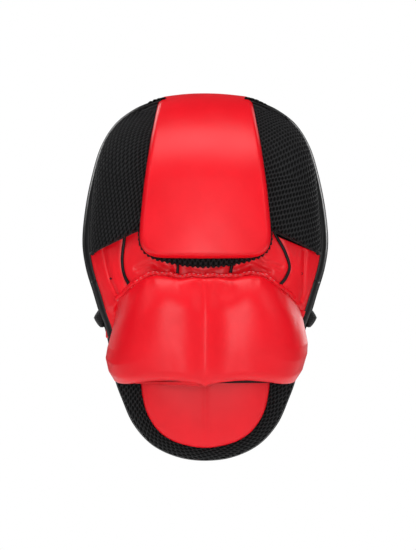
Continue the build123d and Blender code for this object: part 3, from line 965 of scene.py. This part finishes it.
def hood_surface(side, count, columns, reach, top):
    """Return the bulged grid of one side of the hood, from the outer seam in to the strip."""
    outer, inner = hood_rows(side, count, reach)
    grid = np.empty((count, columns, 3))
    t = np.sin(np.linspace(0, math.pi / 2, 160))
    for row in range(count):
        share = row / (count - 1)
        crown = smoothstep(0.62, 0.98, share)
        high = top + 0.8 * crown - arch_drop(inner[row, 0])
        low = outer[row, 2]
        full_arc = low + (high - low) * (1 - t**2.15) ** (1 / 2.15)
        straight = low + (high - low) * (1 - t) + 1.2 * np.sin(np.pi * t)
        height = full_arc * (1 - crown) + straight * crown
        x = inner[row, 0] + (outer[row, 0] - inner[row, 0]) * t
        run = inner[row, 1] + (outer[row, 1] - inner[row, 1]) * t
        # the mouth's edge turns under
        height = height - 4.5 * (1 - puff(np.full_like(t, share * 150), 7.0)) * (1 - t**6)
        height = height + 0.5 * ripple(x * 1.2, run * 1.2, 2.0 + side) * np.sin(np.pi * np.clip(t, 0, 1))
        grid[row] = even_points(hood_place(x, run, height), columns)
    return grid


for side, name in ((-1, "left"), (1, "right")):
    grid = hood_surface(side, 290 // QUICK_COARSE, 118 // QUICK_COARSE, 4.0, 35.0)
    lean = -side * math.radians(24)
    mesh_panel = knit(f"hood_knit_{name}", grid, lean, "pad", f"hood_mesh_{name}")
    edge_line = even_points(grid[0] + np.array([0, 2.2, 0.9]), 90)
    hem = tube(f"mouth_hem_{name}", edge_line, 1.1, LINING)
    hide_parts(f"mouth_binding_{name}")

lining_rows = []
outer_left, _ = hood_rows(-1, 60, 0)
outer_right, _ = hood_rows(1, 60, 0)
for row in range(12, 60):
    t = np.sin(np.linspace(-math.pi / 2, math.pi / 2, 81))
    high = 29.0 + 1.0 * smoothstep(30, 60, row)
    low = outer_left[row, 2] - 0.5
    x = (outer_left[row, 0] + 2.5) * (1 - t) / 2 + (outer_right[row, 0] - 2.5) * (1 + t) / 2
    run = outer_left[row, 1] - 1.5
    height = low + (high - low) * (1 - np.abs(t) ** 2.2) ** (1 / 2.2) - 1.0
    lining_rows.append(hood_place(x, np.full_like(x, run), height))
lining_grid = np.array(lining_rows)
lining_faces = grid_faces(*lining_grid.shape[:2])
hood_cloth = new_object(
    "hood_lining_cloth", lining_grid.reshape(-1, 3), lining_faces, "pad", LINING
)
thicken(hood_cloth, 1.0)
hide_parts("hood_lining")


# ---------------------------------------------------------------- the tongue's gusset

GUSSET_LOWER = [(52.2, 56), (51.6, 46), (48.4, 39), (41.5, 33.6), (24, 28.4), (0, 25.9)]
GUSSET_UPPER = [(49, 60), (48, 58), (40, 57), (28, 56), (14, 56), (0, 56)]
lower_line = smooth_curve(mirror_open(GUSSET_LOWER), 220)
upper_line = smooth_curve(mirror_open(GUSSET_UPPER), 220)
share = np.linspace(0, 1, 70)[:, None, None]
flat = lower_line[None] * (1 - share) + upper_line[None] * share
lift = 28.2 + 4.2 * puff(share[:, :, 0] * 30, 12.0) - arch_drop(flat[:, :, 0])
gusset_grid = hood_place(flat[:, :, 0], flat[:, :, 1], lift)
gusset = knit("tongue_knit", gusset_grid, 0.0, "hood_tongue", "tongue_gusset")


# ---------------------------------------------------------------- the finger panels

SEAM_LINE = [
    (0, 18.6),
    (9, 19.3),
    (20, 18.2),
    (30, 20.2),
    (38, 20.8),
    (46, 19.0),
    (53, 14.2),
    (60, 8.6),
    (67, 2.4),
    (71.5, -2.6),
]
seam_half = np.array(SEAM_LINE, float)
seam_path = smooth_curve(np.vstack([(seam_half * [-1, 1])[1:][::-1], seam_half]), 240)


def seam_level(x):
    """Return the level of the cuff's upper seam."""
    return np.interp(x, seam_path[:, 0], seam_path[:, 1])


PIPING_LINES = {
    "finger_piping_1": [(-62, 62), (-62.4, 50), (-64.2, 32), (-62.6, 20), (-57.2, 9.5), (-54, 3)],
    "finger_piping_2": [(-21, 62), (-21, 45), (-21.3, 30), (-21.5, 18), (-21.5, 10)],
    "finger_piping_3": [(21, 62), (21.5, 45), (21.2, 32), (19.6, 22), (18.5, 10)],
    "finger_piping_4": [(52, 62), (53.5, 53), (61.5, 38), (65, 26), (62.4, 18), (57, 11), (54, 3)],
}


def wall_edge(side, z):
    """Return the x of the side wall's inner seam at a level."""
    return side * (half_width_at(z) - lip_width(z) + 0.5)


def stall_height(x, z):
    """Return the height of the finger panels' general form."""
    side_width = half_width_at(z) - lip_width(z)
    t = np.clip((np.abs(x) - STALL_EDGE_X) / np.maximum(side_width - STALL_EDGE_X, 4), 0, 1)
    middle = STALL_HEIGHT - arch_drop(np.minimum(np.abs(x), STALL_EDGE_X))
    return middle * (1 - t**1.35) + 2.2 * t**1.35


def tucked(x, z, height):
    """Return a height over the fingers, lowered where the cuff's lining swings down over it."""
    return height * (1 - 0.45 * smoothstep(1.0, 9.0, seam_level(x) - z))


def crease(x, z, line, width, depth):
    """Return a crease's height along a line of (x, z) points."""
    dense = even_points(np.array(line, float), 120)
    flat = np.stack([np.ravel(x), np.ravel(z)], axis=1)
    return -depth * bell(distance_to(flat, dense), 0, width).reshape(np.shape(x))


# Each finger panel's creases: a line, its width and its depth
CREASES = {
    "finger_stall_1": [([(-79, 40), (-76.6, 28), (-73.2, 15), (-67, 1)], 1.5, 1.6)],
    "finger_stall_2": [
        ([(-52, 24), (-40, 29), (-26, 22)], 3.2, 2.2),
        ([(-33, 36), (-27, 27)], 2.2, 1.0),
    ],
    "finger_stall_3": [([(-14, 27), (0, 24), (13, 28)], 2.4, 0.9)],
    "finger_stall_4": [
        ([(24, 23), (35, 28), (49, 22)], 3.0, 2.2),
        ([(38, 38), (46, 30), (58, 26)], 2.2, 1.8),
    ],
    "finger_stall_5": [
        ([(77, 38), (76.4, 26), (76, 8), (74, 0)], 1.5, 1.5),
        ([(70, 40), (68.4, 28)], 2.6, 0.7),
    ],
}


def finger_panel(name, left, right, low, high, node):
    """Make one padded finger panel between two seams."""
    rows, columns = 90, 56
    levels = np.linspace(0, 1, rows)[:, None]
    across = np.linspace(0, 1, columns)[None, :]
    left_z, right_z = low[0] + (high[0] - low[0]) * levels, low[1] + (high[1] - low[1]) * levels
    left_x, right_x = left(left_z), right(right_z)
    x = left_x + (right_x - left_x) * across
    z = left_z + (right_z - left_z) * across
    gap = np.minimum(across, 1 - across) * np.abs(right_x - left_x)
    rise = 2.7 * puff(gap, 9.0) - 1.6
    height = stall_height(x, z) + rise + 0.45 * ripple(x * 1.6, z * 1.6, len(name) + left_x[0, 0])
    height = height + bell(z - seam_level(x), 4, 7.0) * 0.3 * np.sin(x * 0.55)
    for line, width, depth in CREASES[node]:
        height = height + crease(x, z, line, width, depth)
        height = height + crease(x, z, np.array(line) + (3.2, 0), 2 * width, -depth * 0.6)
    points = bend(x, z, tucked(x, z, height)).reshape(-1, 3)
    piece = new_object(name, points, grid_faces(rows, columns), "pad", RED)
    thicken(piece, 1.3)
    facing_out(piece)
    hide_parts(node)


def line_x(points):
    """Return a function that gives the x of a seam at a level."""
    dense = smooth_curve(points, 160)
    order = np.argsort(dense[:, 1])
    return lambda z: np.interp(z, dense[order, 1], dense[order, 0])


UNDER_CUFF = np.array([(58, -4), (66, -14)], float)
seams = [line_x(points) for points in PIPING_LINES.values()]
under_left = line_x(PIPING_LINES["finger_piping_1"] + (UNDER_CUFF * [-1, 1]).tolist())
under_right = line_x(PIPING_LINES["finger_piping_4"] + UNDER_CUFF.tolist())
left_wall, right_wall = (lambda z: wall_edge(-1, z)), (lambda z: wall_edge(1, z))
finger_panel("little_panel_left", left_wall, under_left, (-14, -14), (36, 50), "finger_stall_1")
finger_panel("finger_panel_left", seams[0], seams[1], (3, 12), (58, 58), "finger_stall_2")
finger_panel("finger_panel_middle", seams[1], seams[2], (12, 12), (58, 58), "finger_stall_3")
finger_panel("finger_panel_right", seams[2], seams[3], (12, 3), (58, 58), "finger_stall_4")
finger_panel("little_panel_right", under_right, right_wall, (-14, -14), (50, 36), "finger_stall_5")

for node, points in PIPING_LINES.items():
    path = smooth_curve(points, 70)
    height = tucked(path[:, 0], path[:, 1], stall_height(path[:, 0], path[:, 1]) + 0.1)
    bead_path = bend(path[:, 0], path[:, 1], height)
    bead = tube(f"{node}_bead", bead_path, 1.25, BLACK, sides=12)
    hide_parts(node)


# ---------------------------------------------------------------- the rolled seam above the cuff

roll_line = seam_path[np.abs(seam_path[:, 0]) < 68.5]
roll_z = roll_line[:, 1] + 0.5 * np.sin(roll_line[:, 0] * 0.42) + 0.25 * np.sin(roll_line[:, 0] * 1.1)
roll_height = 32.0 - arch_drop(np.minimum(np.abs(roll_line[:, 0]), STALL_EDGE_X))
side_fall = np.clip((np.abs(roll_line[:, 0]) - 52) / 20, 0, 1)
roll_height = roll_height - 14.0 * side_fall**1.5
roll_path = bend(roll_line[:, 0], roll_z, roll_height)
roll = tube("cuff_seam_roll", roll_path, 2.7, RED, sides=18, flat=0.95, wobble=0.06)
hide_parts("seam_roll")
stitch_low = bend(roll_line[:, 0], roll_z - 1.9, roll_height + 2.0)
stitches("seam_stitches_low", stitch_low, PINK_THREAD, length=2.1, radius=0.42)
stitch_high = bend(roll_line[:, 0], roll_z + 1.4, roll_height + 2.4)
stitches("seam_stitches_high", stitch_high, PINK_THREAD, length=2.0, gap=1.6)


# ---------------------------------------------------------------- the cuff

# The cuff's half widths by the share of the way from the wrist to the seam, and its wrist edge as (x, z)
CUFF_LEFT = [(0, 70.5), (0.07, 75.2), (0.22, 77.5), (0.4, 76.0), (0.6, 73.2), (0.8, 70.2), (1, 68)]
CUFF_RIGHT = [(0, 69.5), (0.08, 75.5), (0.26, 79.3), (0.42, 79.6), (0.62, 77.8), (0.82, 75.6), (1, 72.5)]
CUFF_BASE = [
    (0, -66.2),
    (3.5, -64.4),
    (14, -62.6),
    (30, -61.2),
    (46, -62.4),
    (60, -64.2),
    (68, -63.4),
    (74, -59.5),
    (81, -52),
]
cuff_base = smooth_curve(CUFF_BASE, 120)


def cuff_half(place, foot_x):
    """Return one half of the cuff's outer section, from the foot to the crease, as (x, height)."""
    turn = np.linspace(0, math.pi / 2, 44)
    inward = np.linspace(1, 0, 32)[1:]
    wrist_fall = 3.5 * (1 - puff(np.array(place * CUFF_RUN), 40))
    crest = CREST_HEIGHT - wrist_fall - 1.5 * smoothstep(0.65, 1.0, place)
    foot = 3.0 + 1.5 * place
    x_side = CREST_X + (foot_x - CREST_X) * np.cos(turn) ** 0.92
    h_side = foot + (crest - foot) * np.sin(turn) ** 0.95
    x_mid = CREST_X * inward
    valley = 4.4 + 1.8 * smoothstep(0.55, 1.0, place) + 1.6 * smoothstep(0.0, 0.16, 0.16 - place)
    h_mid = crest + 0.9 * np.sin(np.pi * inward) - valley * np.exp(-((x_mid / 10.5) ** 1.9))
    return np.stack([np.concatenate([x_side, x_mid]), np.concatenate([h_side, h_mid])], axis=1)


def pocket_height(x):
    """Return the height of the pocket that the cuff closes over, across the hand."""
    return POCKET_FLOOR + POCKET_RISE * np.sqrt(np.maximum(1 - (x / POCKET_WIDTH) ** 2, 0))


def cuff_rings(rows):
    """Return the cuff's closed sections from the wrist to the seam, and how many points are outside."""
    rings = []
    for place in 1 - np.linspace(1, 0, rows) ** 1.25:
        left = cuff_half(place, np.interp(place, *np.array(CUFF_LEFT).T))
        right = cuff_half(place, np.interp(place, *np.array(CUFF_RIGHT).T))
        outer = np.vstack([left * [-1, 1], right[:-1][::-1]])
        inner_x = np.linspace(68, -68, 81)
        inner = np.stack([inner_x, pocket_height(inner_x)], axis=1)
        below = pocket_height(outer[:, 0])
        above = np.interp(inner_x, outer[:, 0], outer[:, 1])
        wrist = puff(np.array(place * CUFF_RUN), 8.0, 2.0)
        seam = puff(np.array((1 - place) * CUFF_RUN), 30.0, 2.2)
        full = wrist * (0.12 + 0.88 * seam)
        rest = 0.5 - 0.36 * smoothstep(0.3, 1.0, place)
        middle = below + (outer[:, 1] - below) * rest
        outer[:, 1] = middle + (outer[:, 1] - middle) * full
        middle = inner[:, 1] + (above - inner[:, 1]) * rest
        inner[:, 1] = middle + (inner[:, 1] - middle) * min(full * 1.2, 1)
        ring = np.vstack([outer, inner])
        wide = np.abs(ring[:, 0])
        top = seam_level(np.sign(ring[:, 0]) * np.minimum(wide, 71)) - 1.2
        base = np.interp(wide, cuff_base[:, 0], cuff_base[:, 1])
        rings.append(np.stack([ring[:, 0], base + (top - base) * place, ring[:, 1]], axis=1))
    return np.array(rings), len(outer)


rows = 92
grid, outside_count = cuff_rings(rows)
outside = np.zeros(grid.shape[:2])
outside[:, :outside_count] = 1
x, z, height = grid[..., 0], grid[..., 1], grid[..., 2]
from_seam = seam_level(x) - z
pucker = 0.35 * np.sin(x * 0.62 + 0.8 * np.sin(x * 0.31)) * bell(from_seam, 4.0, 5.0)
folds = 0.3 * bell(from_seam, 15, 7) * np.sin(x * 0.21 + 1.0)
dents = -0.8 * bell(from_seam, 9, 5) * bell(x, -7, 6) - 0.6 * bell(from_seam, 12, 6) * bell(x, 15, 9)
height = height + outside * (pucker + folds + dents + 0.5 * ripple(x * 0.8, z * 0.8, 4.0))
ring_size = grid.shape[1]
faces = grid_faces(rows, ring_size, wrap_columns=True)
# each cap starts at its ring's first or last point, which the cloth's springs follow
faces += [cap[::-1] for cap in end_caps(rows, ring_size)]
cuff = new_object("wrist_cuff", bend(x, z, height).reshape(-1, 3), faces, None, RED)
facing_out(cuff)
held = np.zeros((rows, ring_size), bool)
held[-5:] = True
held[:3] = True
held[:, outside_count - 2 :] = True
held[:, :2] = True
inflate(cuff, np.flatnonzero(held))
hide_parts("cuff_cover_left", "cuff_cover_right", "cuff_foam_left", "cuff_foam_right")
crest_y = float(bend(0, seam_level(0), 31.0)[1]) * MM
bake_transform(cuff)


# ---------------------------------------------------------------- the heel

HEEL_HALF = [
    (0, -115),
    (9, -114.2),
    (23, -110.5),
    (34, -104),
    (41, -96),
    (46.5, -85),
    (49.6, -70),
    (50, -58),
    (47, -44),
    (30, -40),
    (0, -39),
]
heel_loop = smooth_curve(mirror_closed(HEEL_HALF), 300, closed=True)


def heel_top(x, z, edge):
    """Return the height of the heel pad: crowned, with a faint crease down the middle."""
    crown = 6.3 * puff(edge, 26, 2.0) + 0.25 * ripple(x, z, 7.0)
    return 3.6 + crown - 0.5 * bell(x, 0, 2.2) * puff(edge, 12)


def heel_bottom(x, z, edge):
    """Return the height of the heel pad's seat."""
    return 3.6 - 2.6 * puff(edge, 4)


heel = panel("heel_pad", heel_loop, (0, -74), heel_top, heel_bottom, bend, 30, RED, "pad", 1.3)
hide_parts("heel_cover", "heel_foam")



def round_heel(line, top):
    """Return the part of a loop below a level, in order round the heel and evenly spaced."""
    low = line[line[:, 1] < top]
    order = np.argsort(np.arctan2(low[:, 0], -(low[:, 1] + 60)))
    return even_points(low[order], 520 // QUICK_COARSE)


rim = round_heel(inset_loop(0.9), -38)
edge_in = round_heel(heel_loop, -42)
t = np.linspace(0, 1, 40 // QUICK_COARSE)[None, :, None]
flat = rim[:, None, :] * (1 - t) + (edge_in[:, None, :] * 0.985 + np.array([0, -0.9])) * t
height = 0.8 + 4.6 * np.sin(np.pi * (0.03 + 0.80 * t[:, :, 0])) ** 0.7 + 0 * flat[..., 0]
border_grid = bend(flat[..., 0], flat[..., 1], height)
border = knit("heel_knit", border_grid, 0.35, "pad", "heel_border", thickness=1.0)


# ---------------------------------------------------------------- webbing, folds, gussets and grip


def ribbon(name, path, low, high, thickness, tone, slot_name, nodes, point=0.0):
    """Make a flat strap from a path of (x, height) points, between two levels.

    point is how far its edges draw in where it stands out past the side wall, which leaves a corner.
    """
    line = smooth_curve(path, 160)
    normal = normals_2d(line)
    share = np.linspace(-1, 1, 9)
    half = thickness / 2 * (1 - 0.75 * np.abs(share) ** 10)
    rows = []
    for offset, rim in [*zip(half, share), *zip(-half[::-1], share[::-1])]:
        flat = line + normal * offset
        proud = np.clip((np.abs(flat[:, 0]) - STRAP_FREE_X) / 6.0, 0, 1)
        x = flat[:, 0] - np.sign(flat[:, 0]) * proud * point * abs(rim) ** 1.2
        rows.append(bend(x, (low + high) / 2 + (high - low) / 2 * rim, flat[:, 1]))
    grid = np.array(rows).transpose(1, 0, 2)
    shape = grid.shape[:2]
    faces = grid_faces(*shape, wrap_columns=True) + end_caps(*shape)
    piece = new_object(name, grid.reshape(-1, 3), faces, "pad", tone)
    facing_out(piece)
    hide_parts(*nodes)
    return piece


STRAP_FREE_X = 80.0
STRAP_HALF = [
    (-80.0, -14.5),
    (-84.2, -16.5),
    (-86.4, -21.0),
    (-85.6, -27.0),
    (-82.0, -31.6),
    (-70, -32.0),
    (-40, -32.2),
    (0, -32.2),
]
FOLD_PATH = np.array([(72, -15), (75.8, -17), (77.2, -22), (76.2, -28), (72, -31.2)])
FLANGE_LOW, FLANGE_HIGH = -40, -8
strap_path = STRAP_HALF + [(-x, h) for x, h in STRAP_HALF[:-1]][::-1]
strap_nodes = ("waist_webbing", "webbing_end_left", "webbing_end_right")
waist = ribbon(
    "waist_strap", strap_path, *webbing_box[:, 2], 1.5, WEBBING, "webbing", strap_nodes, point=4.5
)

for side, name in ((-1, "left"), (1, "right")):
    fold = ribbon(
        f"panel_fold_{name}", FOLD_PATH * [side, 1], -29.5, -21.2, 1.3, RED, "red_pu", (f"face_fold_{name}",)
    )

for side, name in ((-1, "left"), (1, "right")):
    levels = np.linspace(FLANGE_LOW, FLANGE_HIGH, 40)
    share = np.linspace(0, 1, 24)[None, :]
    x = wall_edge(side, levels)[:, None] * (1 - share) + side * 65.0 * share
    z = levels[:, None] + 0 * share
    swell = 3.2 * np.sin(np.pi * 0.5 * share) + 0.9 * bell(share, 0.45, 0.25)
    height = 1.6 + swell + 0.3 * ripple(x * 2, z * 2, 6.0)
    points = bend(x, z, height).reshape(-1, 3)
    flange = new_object(f"cuff_flange_{name}", points, grid_faces(40, 24), "pad", RED)
    thicken(flange, 1.2)
    facing_out(flange)
    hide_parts(f"cuff_gusset_{name}")

grip_z = grip_box[:, 2].mean()
grip_radius = np.ptp(grip_box[:, 2]) / 2
grip_end = grip_box[1, 0] - grip_radius
turn = np.linspace(-math.pi / 2, math.pi / 2, 40)
right = np.stack([grip_end + grip_radius * np.cos(turn), grip_z + grip_radius * np.sin(turn)], axis=1)
grip_loop = even_points(np.vstack([right, (right * [-1, 1])[::-1], right[:1]]), 160, closed=True)
grip = panel(
    "palm_grip", grip_loop, (0, grip_z),
    lambda x, z, edge: 0.8 + 6.0 * puff(edge, grip_radius, 2.0) - 0.3 * bell(x % 16, 8, 1.2),
    lambda x, z, edge: 0.8 - 0.6 * puff(edge, 3), bend, 16, BLACK, "pad", crowd=1.2,
)
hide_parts("palm_grip_cover", "palm_grip_foam")

# The vent eyelets' places as (x, z), and their rings as (radius, height above the panel)
VENTS = [(-73.4, 38.2), (-73.3, 17), (44.5, 34.5), (74.8, 21)]
VENT_RINGS = [(0.85, 0.8), (0.72, 1.35), (0.5, 1.1), (0.35, 0.4), (0.1, 0.1)]
for number, (x, z) in enumerate(VENTS, 1):
    turn = np.linspace(0, 2 * math.pi, 16, endpoint=False)
    rings = []
    for radius, lift in VENT_RINGS:
        flat_x, flat_z = x + radius * np.cos(turn), z + radius * np.sin(turn)
        rings.append(bend(flat_x, flat_z, stall_height(flat_x, flat_z) + lift))
    faces = grid_faces(len(rings), len(turn), wrap_columns=True)
    # each vent is a small dimple in near black: painted shade standing in for the hole's dark inside
    new_object(f"vent_{number}", np.vstack(rings), faces, "pad", HOLE_SHADE)

CAD_MATERIALS = {
    "comfort_foam": FOAM,
    "core_foam": FOAM,
    "impact_foam": FOAM,
    "palm_lining": LINING,
    "cuff_lining": LINING,
}
for name, tone in CAD_MATERIALS.items():
    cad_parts[name].data.materials.clear()
    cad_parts[name].data.materials.append(tone)


# ---------------------------------------------------------------- camera, light and floor


def area_light(name, place, target, size, power):
    """Add a softbox that faces a point. Places are in metres."""
    data = bpy.data.lights.new(name, "AREA")
    data.shape = "RECTANGLE"
    data.size, data.size_y = size
    data.energy = power
    lamp = bpy.data.objects.new(name, data)
    bpy.context.scene.collection.objects.link(lamp)
    lamp.location = place
    lamp.rotation_euler = (Vector(target) - Vector(place)).to_track_quat("-Z", "Y").to_euler()


def studio():
    """Set up the pale floor, the soft light and the camera."""
    scene = bpy.context.scene
    scene.view_settings.view_transform = "Standard"
    world = bpy.data.worlds.new("studio")
    world.use_nodes = True
    tree = world.node_tree
    ambient = tree.nodes["Background"]
    ambient.inputs["Color"].default_value = (1, 1, 1, 1)
    ambient.inputs["Strength"].default_value = AMBIENT
    backdrop = tree.nodes.new("ShaderNodeBackground")
    backdrop.inputs["Color"].default_value = (1, 1, 1, 1)
    backdrop.inputs["Strength"].default_value = 1.0
    path = tree.nodes.new("ShaderNodeLightPath")
    either = tree.nodes.new("ShaderNodeMixShader")
    tree.links.new(path.outputs["Is Camera Ray"], either.inputs["Fac"])
    tree.links.new(ambient.outputs["Background"], either.inputs[1])
    tree.links.new(backdrop.outputs["Background"], either.inputs[2])
    tree.links.new(either.outputs["Shader"], tree.nodes["World Output"].inputs["Surface"])
    scene.world = world

    floor_z = cad_box[0][2] - FLOOR_DROP
    turn = np.linspace(0, 2 * math.pi, 96, endpoint=False)
    rim = [(FLOOR_RADIUS * math.cos(a), FLOOR_RADIUS * math.sin(a), floor_z) for a in turn]
    floor_mesh = bpy.data.meshes.new("floor")
    floor_mesh.from_pydata(rim, [], [list(range(96))])
    floor = bpy.data.objects.new("floor", floor_mesh)
    scene.collection.objects.link(floor)
    paint, _, shader = material("floor_paint", (0.92, 0.92, 0.92), 0.7)
    shader.inputs["Emission Color"].default_value = (1, 1, 1, 1)
    shader.inputs["Emission Strength"].default_value = FLOOR_GLOW
    floor_mesh.materials.append(paint)

    for name, light in LIGHTS.items():
        area_light(name, **light)

    camera_data = bpy.data.cameras.new("camera")
    camera = bpy.data.objects.new("camera", camera_data)
    scene.collection.objects.link(camera)
    camera_data.sensor_width = SENSOR_WIDTH
    camera_data.lens = SENSOR_WIDTH * CAMERA_DISTANCE / VIEW_HEIGHT
    camera.location = (CAMERA_X, -CAMERA_DISTANCE, CAMERA_Z)
    camera.rotation_euler = (math.pi / 2, 0, 0)
    scene.camera = camera


studio()
